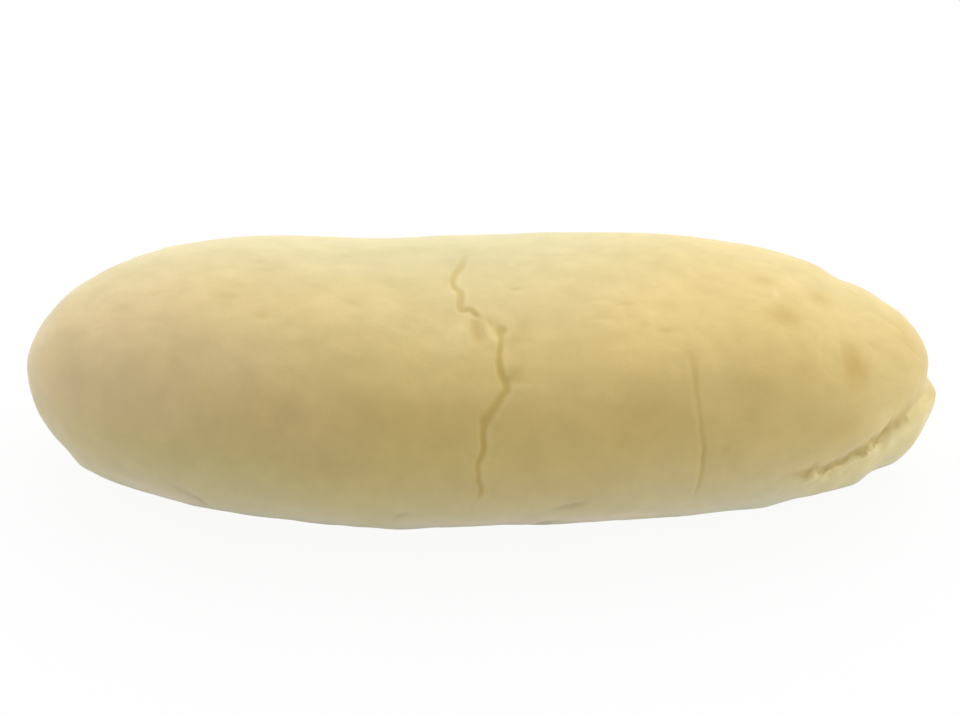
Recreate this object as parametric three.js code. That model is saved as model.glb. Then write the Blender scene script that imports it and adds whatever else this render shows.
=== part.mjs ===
// A soft bread roll with a pale crust, closed on every side and lying on its flat base.
// A ragged crack crosses its middle, a shallow fold lies nearer the right end, and a torn crevice
// parts the crust of that end from a lip that stands out below it.
// Sizes are in millimetres and angles in degrees. +X runs along the roll to its right end,
// -Y is its front and +Z is up. The origin is under the middle of its box.
// A girth angle goes round the roll: 0 at the front, 90 at the crest, 180 at the back, -90 underneath.

import * as THREE from 'three';

// Whole roll
const CRUST_LENGTH = 158.2;
const WIDTH = 60;
const HEIGHT = 37.8;
const WAIST_HEIGHT = 17;
const CRUST_COLOUR = 0xe2cc93;
const CRUST_ROUGHNESS = 0.7;

// Rounded ends: how far each reaches in, seen from above, over the crest and underneath
const PLAN_REACH = 72;
const CREST_REACH = { left: 50, right: 63 };
const BASE_REACH = { left: 27.5, right: 21 };
const PLAN_FULLNESS = 2.5;
const BASE_FULLNESS = { left: 2.2, right: 3.25 };
const TIP_HEIGHT = { left: 16.8, right: 16.4 };

// Cross-section: powers of the two half ovals, and how far the lower one would reach under the floor
const DOME_POWER = 2.25;
const BELLY_POWER = 2.5;
const BASE_SINK = 2.2;
const STEEPEST_FOOT = 70;

// Bend of the middle line, the swelling of the front and the dent of the right shoulder
const BOW = 3.2;
const FRONT_SWELL = { x: -16, reach: 20, out: 1.8 };
const SHOULDER_DENT = { x: 67, reach: 10, depth: 2.4 };

// Soft unevenness of the crust: height of each wave, its length along the roll and its lobes round it
const WAVES = [
  { height: 0.16, length: 61, lobes: 3, turn: 25 },
  { height: 0.12, length: 37, lobes: 5, turn: 140 },
  { height: 0.08, length: 23, lobes: 4, turn: 250 },
];

// Crack: [girth angle, place along the roll] at each corner, from the belly up over the crest
const CRACK_PATH = [
  [-20, -1.3], [-14, -1.1], [-5, 0.5], [8, -0.1], [19, 0.8], [30, 0.9], [41.5, 4.5], [47, 3.9],
  [56, 3.4], [65.5, 3.9], [74, -2.9], [84, -3.2], [89, -4.4], [98, -3], [105, -2.1],
];
const CRACK = { path: CRACK_PATH, middle: 1, depth: 1.0, halfWidth: 0.75, fade: 9 };

// Fold: the same, for the shallower crease nearer the right end
const FOLD_PATH = [
  [-14, 36.5], [-8, 37], [5, 37.4], [13, 37.6], [28, 36.9], [45, 36], [51.5, 35.7], [56, 34.4],
];
const FOLD = { path: FOLD_PATH, middle: 36.5, depth: 0.4, halfWidth: 0.9, fade: 8 };
const CREASE_REACH = 9;
const CREASE_GIRTH_REACH = 30;

// Crevice on each side of the right tip: [place along the roll, girth angle above the waist], and then
// [place along the roll, depth], shallow again where it rounds the tip
const CREVICE_PATH = {
  front: [[40, 0], [50, -13.5], [62, -13.8], [64, -11.5], [68.5, -10.8], [71, -2.2], [79, -2]],
  back: [[56, 0], [66, 8], [72, 3], [76, 4], [79, -2]],
};
const CREVICE_DEPTH = {
  front: [[51, 0], [60, 1.3], [70, 1.3], [78, 0.6]],
  back: [[65, 0], [74, 0.7], [78, 0.6]],
};
const CREVICE_HALF_WIDTH = 0.9;
const CREVICE_GIRTH_REACH = 18;
const LIP = { out: 1.7, start: 68, end: 77, edge: 1.0 };

// Lines of the surface: stations along the roll and girth lines round it
const STATION_STEPS = 52;
const GIRTH_STEP = 6;
const FOOT_LINE = 54;
const CREVICE_LINES = [-2.5, 2.5];
const CREASE_STATIONS = [-3.2, -1.6, -0.7, 0, 0.7, 1.6, 3.2];

const HALF_LENGTH = CRUST_LENGTH / 2;
const SPINE_END = HALF_LENGTH - WIDTH / 2;

function radians(degrees) {
  return THREE.MathUtils.degToRad(degrees);
}

// A bell-shaped weight: 1 at the middle and next to nothing two reaches away
function bell(distance, reach) {
  return Math.exp(-((distance / reach) ** 2));
}

// Straight lines between the [position, value] corners of a short path
function trace(path, position) {
  if (position <= path[0][0]) return path[0][1];
  for (let i = 1; i < path.length; i += 1) {
    const [from, first] = path[i - 1];
    const [to, second] = path[i];
    if (position <= to) return THREE.MathUtils.mapLinear(position, from, to, first, second);
  }
  return path[path.length - 1][1];
}

// Share of the full size at a distance in from a rounded end
function roundedEnd(distance, reach, fullness) {
  const left = THREE.MathUtils.clamp(1 - distance / reach, 0, 1);
  return Math.sqrt(1 - left ** fullness);
}

// Both ends together: the share of the full size at a place along the roll
function bothEnds(x, reachLeft, reachRight, fullLeft, fullRight) {
  const left = roundedEnd(HALF_LENGTH + x, reachLeft, fullLeft);
  const right = roundedEnd(HALF_LENGTH - x, reachRight, fullRight);
  return left * right;
}

// How far behind the front-to-back middle the roll's own middle line lies
function middleLine(x) {
  return BOW * (x / HALF_LENGTH) ** 2 - FRONT_SWELL.out * bell(x - FRONT_SWELL.x, FRONT_SWELL.reach);
}

// Sizes of the cross-section at a place along the roll
function section(x) {
  const plan = bothEnds(x, PLAN_REACH, PLAN_REACH, PLAN_FULLNESS, PLAN_FULLNESS);
  const crest = bothEnds(x, CREST_REACH.left, CREST_REACH.right, PLAN_FULLNESS, PLAN_FULLNESS);
  const base = bothEnds(x, BASE_REACH.left, BASE_REACH.right, BASE_FULLNESS.left, BASE_FULLNESS.right);
  const tip = THREE.MathUtils.mapLinear(x, -HALF_LENGTH, HALF_LENGTH, TIP_HEIGHT.left, TIP_HEIGHT.right);
  const dent = SHOULDER_DENT.depth * bell(x - SHOULDER_DENT.x, SHOULDER_DENT.reach);
  const waist = tip + (WAIST_HEIGHT - tip) * plan;
  return {
    plan,
    waist,
    halfWidth: (WIDTH / 2) * plan,
    rise: tip + (HEIGHT - tip - dent) * crest - waist,
    drop: waist - (tip * (1 - base) - BASE_SINK * base),
  };
}

// Height of the crust's soft waves above the even form
function wave(x, girth) {
  let height = 0;
  for (const { height: peak, length, lobes, turn } of WAVES) {
    const along = Math.sin((2 * Math.PI * x) / length + radians(turn));
    height += peak * along * Math.cos(radians(lobes * girth + turn));
  }
  return height;
}

// Point of the plain body, which is still rounded under the floor
function bodyPoint(x, girth) {
  const { plan, waist, halfWidth, rise, drop } = section(x);
  const across = Math.cos(radians(girth));
  const upward = Math.sin(radians(girth));
  const power = upward > 0 ? DOME_POWER : BELLY_POWER;
  const size = (Math.abs(across) ** power + Math.abs(upward) ** power) ** (-1 / power);
  const swell = 1 + (wave(x, girth) * plan) / (WIDTH / 2);
  const y = middleLine(x) - halfWidth * size * swell * across;
  const z = waist + (upward > 0 ? rise : drop) * size * swell * upward;
  return new THREE.Vector3(x, y, z);
}

// Girth angle below the front at which the body meets the floor
function footAngle(x) {
  const { waist, drop } = section(x);
  const share = Math.min(waist / drop, 1);
  const aside = (1 - share ** BELLY_POWER) ** (1 / BELLY_POWER);
  const angle = THREE.MathUtils.radToDeg(Math.atan2(share, aside));
  return Math.min(angle, STEEPEST_FOOT);
}

// A girth line's own angle at a station: the foot lines follow the floor, and those near the waist follow
// the crevice. Lines are counted from -90 underneath to 270.
function lineAngle(station, line) {
  const side = line > 90 ? 'back' : 'front';
  let girth = side === 'back' ? 180 - line : line;
  const foot = footAngle(station);
  if (girth < -FOOT_LINE) girth = THREE.MathUtils.mapLinear(girth, -90, -FOOT_LINE, -90, -foot);
  else if (girth < 0) girth *= foot / FOOT_LINE;
  girth += trace(CREVICE_PATH[side], station) * bell(girth, CREVICE_GIRTH_REACH);
  return side === 'back' ? 180 - girth : girth;
}

// A station's own place at a girth angle: those near a crease follow its path
function stationPlace(station, girth) {
  let x = station;
  for (const { path, middle } of [CRACK, FOLD]) {
    const past = Math.max(path[0][0] - girth, girth - path[path.length - 1][0], 0);
    const offset = trace(path, girth) - middle;
    x += offset * bell(station - middle, CREASE_REACH) * bell(past, CREASE_GIRTH_REACH);
  }
  return x;
}

// Depth of a crease at a station, fading out at both ends of its path
function creaseDepth(crease, station, girth) {
  const lowest = crease.path[0][0];
  const highest = crease.path[crease.path.length - 1][0];
  const fadeLow = THREE.MathUtils.smoothstep(girth, lowest, lowest + crease.fade);
  const fadeHigh = 1 - THREE.MathUtils.smoothstep(girth, highest - crease.fade, highest);
  return crease.depth * fadeLow * fadeHigh * bell(station - crease.middle, crease.halfWidth);
}

// Moves a point towards the roll's spine, by a depth
function sink(point, depth) {
  const x = THREE.MathUtils.clamp(point.x, -SPINE_END, SPINE_END);
  const spine = new THREE.Vector3(x, middleLine(x), WAIST_HEIGHT);
  return point.addScaledVector(spine.sub(point).normalize(), depth);
}

// Cuts the crevice into the right end and pushes the lip below it straight out from the spine
function partLip(point, girth) {
  const side = Math.cos(radians(girth)) > 0 ? 'front' : 'back';
  const rise = trace(CREVICE_PATH[side], point.x);
  const depth = trace(CREVICE_DEPTH[side], point.x);
  const above = point.z - bodyPoint(point.x, side === 'back' ? 180 - rise : rise).z;
  const below = THREE.MathUtils.smoothstep(-above, 0, LIP.edge);
  const out = LIP.out * below * THREE.MathUtils.smoothstep(point.x, LIP.start, LIP.end);
  const outward = new THREE.Vector3(point.x - SPINE_END, point.y - middleLine(SPINE_END), 0).normalize();
  sink(point, depth * bell(above, CREVICE_HALF_WIDTH));
  return point.addScaledVector(outward, out);
}

// Point of the finished crust on a station and a girth line
function crustPoint(station, line) {
  const girth = lineAngle(station, line);
  const point = bodyPoint(stationPlace(station, girth), girth);
  sink(point, creaseDepth(CRACK, station, girth) + creaseDepth(FOLD, station, girth));
  if (point.x > SPINE_END) partLip(point, girth);
  point.z = Math.max(point.z, 0);
  return point;
}

// Stations between the tips: closer towards the ends, with a set of their own at each crease
function stations() {
  const creases = [CRACK.middle, FOLD.middle];
  const widest = Math.max(...CREASE_STATIONS);
  const places = [];
  for (let i = 1; i < STATION_STEPS; i += 1) {
    const x = -HALF_LENGTH * Math.cos((Math.PI * i) / STATION_STEPS);
    if (creases.every((middle) => Math.abs(x - middle) > widest + 1)) places.push(x);
  }
  for (const middle of creases) places.push(...CREASE_STATIONS.map((offset) => middle + offset));
  return places.sort((a, b) => a - b);
}

// Girth lines from underneath, round the front and over to underneath again
function girthLines() {
  const lines = [];
  for (let line = -90; line < 270; line += GIRTH_STEP) lines.push(line);
  lines.push(...CREVICE_LINES, ...CREVICE_LINES.map((offset) => 180 + offset));
  return lines.sort((a, b) => a - b);
}

// Closed surface: a ring of points at each station, and a single point at each tip
function crustGeometry() {
  const lines = girthLines();
  const rings = stations().map((station) => lines.map((line) => crustPoint(station, line)));
  const points = [crustPoint(-HALF_LENGTH, 0), ...rings.flat(), crustPoint(HALF_LENGTH, 0)];
  const count = lines.length;
  const lastTip = points.length - 1;
  const corners = [];
  for (let j = 0; j < count; j += 1) {
    const next = (j + 1) % count;
    const lastRing = lastTip - count;
    corners.push(0, 1 + j, 1 + next);
    for (let ring = 0; ring < rings.length - 1; ring += 1) {
      const near = 1 + ring * count;
      const far = near + count;
      corners.push(near + j, far + j, far + next);
      corners.push(near + j, far + next, near + next);
    }
    corners.push(lastRing + j, lastTip, lastRing + next);
  }
  const geometry = new THREE.BufferGeometry().setFromPoints(points);
  geometry.setIndex(corners);
  geometry.computeBoundingBox();
  const middle = geometry.boundingBox.getCenter(new THREE.Vector3());
  geometry.translate(-middle.x, -middle.y, -geometry.boundingBox.min.z);
  geometry.computeVertexNormals();
  return geometry;
}

const crust = new THREE.MeshStandardMaterial({
  color: CRUST_COLOUR,
  roughness: CRUST_ROUGHNESS,
  metalness: 0,
});
const roll = new THREE.Mesh(crustGeometry(), crust);
roll.name = 'roll';

const part = new THREE.Group();
part.add(roll);

export default part;
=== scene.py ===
"""Looks of a long soft bread roll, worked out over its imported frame.

The crust is one closed surface: a function of a station along the roll and a girth line round it.
Forms are worked out in millimetres and degrees and become metres when they are put into a mesh.
+X runs along the roll to its right end, -Y is its front and +Z is up.
A girth angle goes round the roll: 0 at the front, 90 at the crest, 180 at the back, -90 underneath.
A ramp is a pair of values between which something grows smoothly from none to all.
Bells along the roll are rows of a place, a reach and a height.
"""

import collections
import functools
import math

import bpy
import numpy as np
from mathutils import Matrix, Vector


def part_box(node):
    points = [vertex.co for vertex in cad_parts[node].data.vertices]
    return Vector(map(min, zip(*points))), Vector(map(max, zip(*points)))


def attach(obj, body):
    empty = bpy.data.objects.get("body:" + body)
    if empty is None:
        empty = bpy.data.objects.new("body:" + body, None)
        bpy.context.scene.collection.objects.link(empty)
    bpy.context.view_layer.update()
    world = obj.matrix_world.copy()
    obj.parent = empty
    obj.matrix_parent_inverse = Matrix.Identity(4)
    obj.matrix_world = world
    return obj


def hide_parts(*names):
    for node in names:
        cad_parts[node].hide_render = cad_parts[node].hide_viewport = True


bl_info = {
    "name": "Soft bread roll",
    "version": (1, 0, 0),
    "blender": (4, 5, 0),
    "location": "View3D > Sidebar > Bread roll",
    "description": "Makes a soft roll's crust, its torn crumbs and a plain stage",
    "category": "Add Mesh",
}

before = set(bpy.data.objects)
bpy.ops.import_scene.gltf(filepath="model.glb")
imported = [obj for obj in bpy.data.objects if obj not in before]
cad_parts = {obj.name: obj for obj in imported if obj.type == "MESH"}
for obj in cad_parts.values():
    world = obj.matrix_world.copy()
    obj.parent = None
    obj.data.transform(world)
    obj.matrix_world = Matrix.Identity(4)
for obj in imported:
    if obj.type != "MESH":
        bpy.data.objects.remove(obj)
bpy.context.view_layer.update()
ROLL_LOW, ROLL_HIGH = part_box("roll")
ROLL_SIZE = ROLL_HIGH - ROLL_LOW
MM = 0.001

# Even form of the roll
FORM_LENGTH = 158.2
FORM_WIDTH = 60.0
FORM_HEIGHT = 37.8
WAIST_HEIGHT = 17.0
HALF_LENGTH = FORM_LENGTH / 2
HALF_WIDTH = FORM_WIDTH / 2
SPINE_END = HALF_LENGTH - HALF_WIDTH

# Rounded ends, left and right: how far each reaches in, seen from above, over the crest and underneath
PLAN_REACH = (72.0, 72.0)
CREST_REACH = (50.0, 63.0)
BASE_REACH = (27.5, 21.0)
# How full the ends are above and underneath, and how high their tips are
PLAN_FULLNESS = (2.5, 2.5)
BASE_FULLNESS = (2.2, 3.25)
TIP_HEIGHT = (16.8, 16.4)

# Cross-section: powers of the two half ovals, and how far the lower one would reach under the floor
DOME_POWER = 2.25
BELLY_POWER = 2.5
BASE_SINK = 2.2
# Steepest girth angle at which the body meets the floor, and the height over which that edge is rounded
STEEPEST_FOOT = 70.0
FOOT_SOFTNESS = 1.1

# Bend of the middle line; bells of the front's swelling and of the right shoulder's dent
BOW = 3.2
FRONT_SWELLING = ((-16.0, 20.0, 1.8),)
SHOULDER_DENT = ((67.0, 10.0, 2.4),)

# Soft waves of the crust: height, length along the roll, lobes round it, turn
WAVES = ((0.16, 61.0, 3, 25.0), (0.12, 37.0, 5, 140.0), (0.08, 23.0, 4, 250.0))

# Two parts of the crack over the middle: place along the roll, girth angle, width share, depth share
CRACK_UPPER = (
    (-2.2, 104.5, 0.8, 0.3), (-3.0, 98.2, 1.5, 0.7), (-3.9, 94.2, 1.4, 0.8), (-4.4, 90.0, 1.1, 1.0),
    (-4.3, 87.2, 0.9, 1.0), (-3.2, 84.0, 1.5, 0.8), (-3.1, 78.8, 1.5, 0.9), (-2.9, 74.3, 1.3, 0.8),
    (-1.3, 74.5, 1.2, 0.9), (-0.3, 72.2, 1.2, 0.9), (0.3, 70.8, 0.8, 0.2),
)
CRACK_LOWER = (
    (2.8, 67.2, 1.4, 0.1), (3.5, 65.9, 1.9, 0.7), (3.9, 64.7, 2.2, 1.0), (3.8, 63.4, 1.8, 1.0),
    (3.7, 61.8, 1.0, 0.8), (3.6, 60.4, 0.9, 0.7), (3.4, 56.0, 1.1, 0.8), (3.5, 51.0, 1.4, 1.0),
    (4.6, 42.2, 1.4, 1.1), (4.4, 40.8, 1.4, 1.0), (1.9, 33.2, 1.6, 1.0), (1.0, 30.2, 2.0, 1.0),
    (0.7, 27.0, 1.2, 1.0), (0.8, 19.0, 1.1, 1.0), (0.1, 12.5, 1.0, 0.9), (-0.1, 8.0, 0.9, 0.9),
    (0.5, -4.5, 0.9, 0.8), (0.1, -8.0, 0.7, 0.3), (-0.9, -13.0, 0.6, 0.15), (-1.3, -19.5, 0.5, 0.12),
)
# Soft dents beside the crack, with the same four values: its spur, a slanting dent and the pucker at its bend
DENTS = (
    ((-0.4, 71.5, 0.9, 0.8), (-0.5, 67.0, 1.3, 1.3), (-0.1, 62.5, 1.3, 1.2), (0.1, 58.5, 0.8, 0.1)),
    ((8.9, 70.2, 1.4, 0.1), (7.4, 65.0, 2.2, 0.6), (5.6, 59.5, 1.8, 0.3), (5.0, 57.0, 1.2, 0.1)),
    ((5.1, 45.5, 1.2, 1.2), (6.0, 48.0, 1.6, 0.9), (7.0, 50.5, 1.2, 0.1)),
)
# Creases above the base
LOW_CREASES = (
    ((11.8, -19.5, 0.4, 0.4), (14.0, -17.5, 0.55, 1.0), (16.0, -16.0, 0.65, 1.4), (17.2, -14.5, 0.5, 0.9),
     (19.0, -11.0, 0.4, 0.2)),
    ((8.6, -40.0, 0.8, 0.6), (10.4, -36.0, 1.1, 1.3), (12.0, -33.5, 1.1, 1.3), (14.0, -30.5, 0.7, 0.3)),
    ((-53.5, -18.0, 0.5, 0.2), (-51.5, -19.5, 0.6, 0.6), (-49.5, -22.5, 0.7, 1.1), (-47.5, -26.0, 0.7, 1.4),
     (-46.4, -31.0, 0.6, 1.0)),
    ((-14.2, -24.0, 0.5, 0.4), (-13.3, -21.5, 0.7, 1.2), (-12.0, -19.0, 0.5, 0.4)),
    ((-22.4, -36.0, 0.8, 0.5), (-21.4, -34.5, 0.9, 1.0), (-20.8, -34.0, 0.6, 0.2)),
)
# Raised flake between the crack's two parts
FLAKE_PATH = ((1.0, 68.6, 0.7, 0.6), (1.7, 65.5, 1.1, 1.0), (2.5, 61.0, 1.0, 0.7), (2.8, 58.5, 0.5, 0.1))
# Fold nearer the right end, from the shoulder down
FOLD_PATH = (
    (34.5, 55.2, 1.2, 0.1), (35.2, 51.5, 1.2, 0.4), (35.5, 45.2, 1.0, 0.8), (36.2, 33.2, 0.8, 0.7),
    (36.9, 18.8, 0.7, 0.8), (37.3, 13.0, 0.7, 1.3), (37.2, 5.0, 0.65, 1.4), (36.9, -2.0, 0.55, 1.2),
    (36.7, -8.0, 0.5, 1.0), (36.2, -14.2, 0.5, 0.5),
)
# Step of a path's points and their least count; its wobble along and round the roll, and the wobble's length
PATH_STEP, PATH_LEAST = 0.4, 3
PATH_WOBBLE, WOBBLE_TURN, WOBBLE_CELL = 0.16, 0.32, 1.3

# Shares of a groove's half width at which its floor and its sides end
GROOVE_FLOOR, GROOVE_SIDE = 0.25, 1.15
# Crack's darkness, partly the skin's own colour and partly painted shade; painted highlight beside it: share,
# how far aside, reach
CRACK_DARKNESS = 0.88
CRACK_HIGHLIGHT, HIGHLIGHT_ASIDE, HIGHLIGHT_REACH = 0.12, 1.2, 0.5
# Dents and low creases: width in crack widths; depth in crack depths, share of crack colour and share of
# hollow colour, both painted shade
DENT_WIDTH = 1.4
DENT_SHARES = (0.7, 0.56, 0.07)
LOW_CREASE_SHARES = (1.2, 0.0, 0.38)
# Flake: width in crack widths, lift in crack depths, golden share
FLAKE_WIDTH, FLAKE_LIFT, FLAKE_GOLD = 1.3, 0.5, 0.7
# Fold: how far aside its valley and its ridge lie, their reaches, and the ridge's height in fold depths
VALLEY_ASIDE, VALLEY_REACH = 0.3, 0.6
RIDGE_ASIDE, RIDGE_REACH, RIDGE_HEIGHT = -0.7, 0.7, 0.25
# Fold's painted shade in its valley, and the depth share past which it grows no darker
FOLD_SHADE, FOLD_SHADE_LIMIT = 0.55, 1.6

# Crevice on each side of the right tip: places along the roll with girth angles above the waist
CREVICE_FRONT = ((40, 0), (50, -13.5), (62, -13.8), (64, -11.5), (68.5, -10.8), (71, -2.2), (79, -2))
CREVICE_BACK = ((56, 0), (66, 8), (72, 3), (76, 4), (79, -2))
# Its depth shares along the roll
CREVICE_FRONT_DEPTH = (
    (49.5, 0), (54, 0.6), (56.5, 1), (61, 1.15), (66, 1), (70, 0.9), (72.5, 0.6), (74, 0.35), (75.2, 0.1),
    (79, 0.03),
)
CREVICE_BACK_DEPTH = ((65, 0), (74, 0.45), (77, 0.15), (79, 0.03))
# Length over which it begins, how patchy its depth is, and how far its roof and its slope reach
CREVICE_ONSET = 3.0
CREVICE_PATCHES, PATCH_CELL = 0.3, 1.8
CREVICE_ROOF, CREVICE_SLOPE = 1.5, 1.0
# Jags of its path: length and angle; ramps of the place along the roll and of the distance from the tip
CREVICE_JAGS = ((3.2, 1.8), (1.3, 1.95))
JAG_START, JAG_END = (52.0, 58.0), (0.3, 4.0)
# Girth angle over which the girth lines follow it
CREVICE_GIRTH_REACH = 18.0
# Painted shade under its roof: share, raggedness, and the heights above the crevice between which it ends
ROOF_SHADE, ROOF_RAG, ROOF_END = 0.6, 0.6, (0.5, 2.2)

# Lip below the crevice: ramps of the place along the roll and of the way round the tip, where it dies away
LIP_PLACES, LIP_END = (68.0, 77.0), (-0.1, 0.12)
# Height of its rounded edge and how far that drops at the tip; its lumps: depth, size, height of their edge
LIP_EDGE, LIP_DROP = 1.2, 1.35
LIP_LUMP, LIP_CELL, LUMP_EDGE = 0.3, 3.6, 2 * LIP_EDGE
# Crust tucked in above the lip: depth, reach, ramps of the height above the lip and of the place
TUCK_DEPTH, TUCK_REACH = 0.55, 3.6
TUCK_EDGE, TUCK_PLACES = (-0.5, 1.0), (72.0, HALF_LENGTH - 1.0)
# Torn edge below the crevice: drop from the crevice, how ragged it is and how soft
EDGE_DROP, EDGE_RAG, EDGE_SOFTNESS = 0.85, 0.6, 0.35
# Tear along that edge: depth, size of its grain, drop from the crevice
TEAR_DEPTH, TEAR_CELL, TEAR_DROP = 0.28, 1.5, 2 * EDGE_DROP
# How bare the crumb of the lip's front is along the roll, and how far down it is bare
BARE_FRONT = ((51, 0), (57, 0.5), (61, 0.85), (66, 1), (70, 0.95), (74, 0.75), (77.5, 0.4), (79, 0.05))
BARE_REACH = 8.5
# Painted shade on the torn lip, as a share of hollow colour, and the places between which it ends
LIP_SHADE, LIP_SHADE_END = 0.12, (70.0, 75.0)

# Unevenness of the base's front edge: bells along the roll, the girth line they lie on and its reach
FOOT_BUMPS = (
    (-75.4, 2.0, -0.2), (-72.5, 1.6, -0.4), (-69.0, 1.9, 0.5), (-57.0, 8.0, -0.55), (-33.0, 5.0, -0.25),
    (-14.0, 4.0, 0.25), (10.5, 5.0, 0.35), (48.5, 4.0, 0.5), (62.0, 3.5, 0.3), (66.2, 1.8, 0.35),
    (69.8, 1.5, -0.25), (72.5, 2.0, 0.3),
)
FOOT_BUMP_LINE, FOOT_BUMP_REACH = -46.0, 18.0

# Pinkish rim above the base and the painted shade of the dark edge below it: girth angle, reach, and shares
# along the roll
RIM_LINE, RIM_REACH = -31.0, 5.5
RIM_SHARES = (
    (-66, 0), (-60, 0.22), (-50, 0.3), (-46, 0.05), (-14, 0.05), (-9, 0.2), (10, 0.28), (22, 0.36),
    (30, 0.18), (50, 0.1), (60, 0),
)
FOOT_SHADE_LINE, FOOT_SHADE_REACH = -40.0, 6.0
FOOT_SHADE_SHARES = (
    (-50, 0), (-46, 0.42), (-36, 0.33), (-33, 0.14), (-24, 0.4), (-20, 0.2), (-14, 0.1), (-11, 0.32),
    (-3, 0.44), (5, 0.3), (9, 0.2), (12, 0.38), (14.5, 0.32), (17, 0),
)

# Underside: sizes of the tray's browning and of its blotches; usual share, and how much each changes it
TRAY_CELL, BLOTCH_CELL = 8.0, 8.0 / 3
TRAY_SHARE, TRAY_CHANGE, BLOTCH_CHANGE = 0.86, 0.1, 0.14
# How far the browning's edge wanders, and the ramp of the depth below the floor over which it grows
TRAY_WANDER, TRAY_EDGE = 0.3, (-1.0, 0.7)
# Pits of the underside: size, depth, ramps of their noise and of the depth below the floor
PIT_CELL, PIT_DEPTH = 4.5, 0.3
PIT_NOISE, PIT_PLACE = (0.3, 0.8), (0.3, 1.2)

# Marks: place along the roll, girth angle, half length, half girth, lift, browning or, if negative, paling
MARKS = (
    # Browned spots of the right end
    (64.1, 47.4, 2.3, 2.9, -0.12, 0.62), (63.2, 57.5, 1.8, 2.4, -0.08, 0.34),
    (52.0, 72.0, 2.4, 2.6, -0.10, 0.50), (58.8, 88.0, 2.2, 2.2, -0.08, 0.44),
    (49.2, 92.5, 1.7, 1.6, -0.06, 0.36), (75.1, 84.8, 3.2, 5.0, 0.0, 0.30),
    (62.1, 10.0, 3.0, 2.2, -0.06, 0.22),
    # Light flecks; the one right of the crack's bend is partly a painted highlight on a raised ridge
    (50.9, 83.8, 0.7, 1.1, 0.1, -0.5), (5.6, 98.0, 0.5, 0.4, 0.06, -0.2),
    (30.0, 86.0, 0.6, 0.5, 0.06, -0.2), (23.3, 55.7, 2.4, 0.5, 0.06, -0.08),
    (6.9, 42.5, 1.6, 0.5, 0.16, -0.25), (-2.5, 66.5, 1.6, 1.2, 0.06, -0.3),
    (37.8, -24.5, 1.1, 0.8, 0.20, -0.25), (40.8, -16.5, 0.7, 0.8, 0.05, -0.14),
    (42.2, -20.5, 0.7, 0.8, 0.05, -0.14),
    # Browned dimples and small bumps
    (-37.5, 99.5, 0.9, 0.7, -0.08, 0.25), (-23.0, 107.0, 0.9, 0.7, -0.08, 0.2),
    (-42.1, 80.8, 1.3, 1.1, 0.10, 0.1), (6.3, 83.5, 1.2, 0.6, -0.10, 0.2),
    (-21.0, 78.0, 1.0, 0.7, -0.06, 0.2), (-36.0, 70.0, 0.9, 0.8, 0.05, 0.3),
    (-51.0, 48.0, 0.8, 0.6, -0.05, 0.2), (-45.0, 37.0, 1.1, 0.8, -0.05, 0.15),
    (-34.0, 18.0, 0.9, 0.7, -0.05, 0.15), (31.5, 63.0, 1.2, 0.8, -0.06, 0.15),
    (24.9, 75.0, 1.4, 0.6, -0.08, 0.22), (28.0, 65.5, 0.9, 0.6, -0.05, 0.18),
    (31.4, 60.0, 2.4, 1.9, -0.10, 0.06), (24.0, 18.0, 1.3, 0.9, -0.06, 0.12),
    (41.4, 11.0, 0.6, 1.0, -0.10, 0.3), (1.8, 69.2, 1.3, 1.2, -0.05, 0.30),
    # Broad tones
    (46.0, 38.0, 5.5, 4.5, 0.0, 0.20), (-4.6, 61.0, 3.0, 2.8, 0.0, -0.26),
    (5.6, 58.0, 1.6, 2.6, 0.0, 0.08), (69.5, 7.0, 4.5, 4.5, 0.0, -0.3),
    (-32.0, 30.0, 12.0, 11.0, 0.0, 0.08), (73.5, -20.0, 2.5, 2.5, 0.0, -0.1),
    (28.0, 33.0, 7.0, 6.0, 0.0, 0.18), (56.0, 42.0, 6.0, 6.0, 0.0, 0.10),
    (54.0, 58.0, 10.0, 9.0, 0.0, 0.06), (70.0, 45.0, 5.0, 5.0, 0.0, -0.08),
    # Dents behind the crest and a bump of the right end, which show in the outline
    (63.8, 136.0, 3.0, 9.0, -0.6, 0.0), (72.3, 125.0, 3.0, 8.0, -0.25, 0.0),
    (78.4, 60.0, 1.6, 6.0, 0.3, 0.0), (-75.6, 122.0, 3.2, 8.0, -0.35, 0.0),
    (-67.5, 128.0, 3.0, 8.0, -0.25, 0.0), (-17.0, 136.0, 6.0, 8.0, -0.22, 0.0),
    # Marks of the back
    (-31.0, 128.0, 1.1, 0.8, -0.06, 0.25), (-8.0, 141.0, 0.9, 1.2, -0.08, 0.3),
    (17.0, 133.0, 1.6, 1.0, -0.05, 0.2), (33.0, 152.0, 1.2, 0.9, -0.06, 0.25),
    (-52.0, 150.0, 0.8, 0.7, -0.05, 0.2), (3.0, 168.0, 1.4, 0.8, 0.06, -0.2),
    (55.0, 165.0, 2.0, 1.6, -0.08, 0.35), (-64.0, 120.0, 1.2, 0.9, -0.05, 0.25),
    # Flakes of the torn lip
    (55.8, -17.5, 0.7, 1.2, 0.10, -0.3), (66.4, -15.5, 0.9, 0.9, 0.35, -0.6),
    (67.9, -17.5, 1.0, 1.5, 0.38, -0.75),
)

# Unevenness of the skin: size of the noise's cells, share of the skin's relief
SKIN_LAYERS = ((16.0, 1.6), (6.0, 1.3), (2.6, 0.5), (1.0, 0.08))
# Soft wrinkles of the skin: size of the noise's cells, depth, width as a share of the noise
WRINKLE_CELL, WRINKLE_DEPTH, WRINKLE_WIDTH = 5.0, 0.055, 0.3
# Size and strength of the noise that bends them
BEND_CELL, BEND_REACH = 4.0, 2.6
# Their least share, and the ramps of place and girth angle over which they become full
WRINKLE_LEAST, WRINKLE_PLACES, WRINKLE_GIRTH = 0.55, (-5.0, 20.0), (15.0, 45.0)

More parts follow.
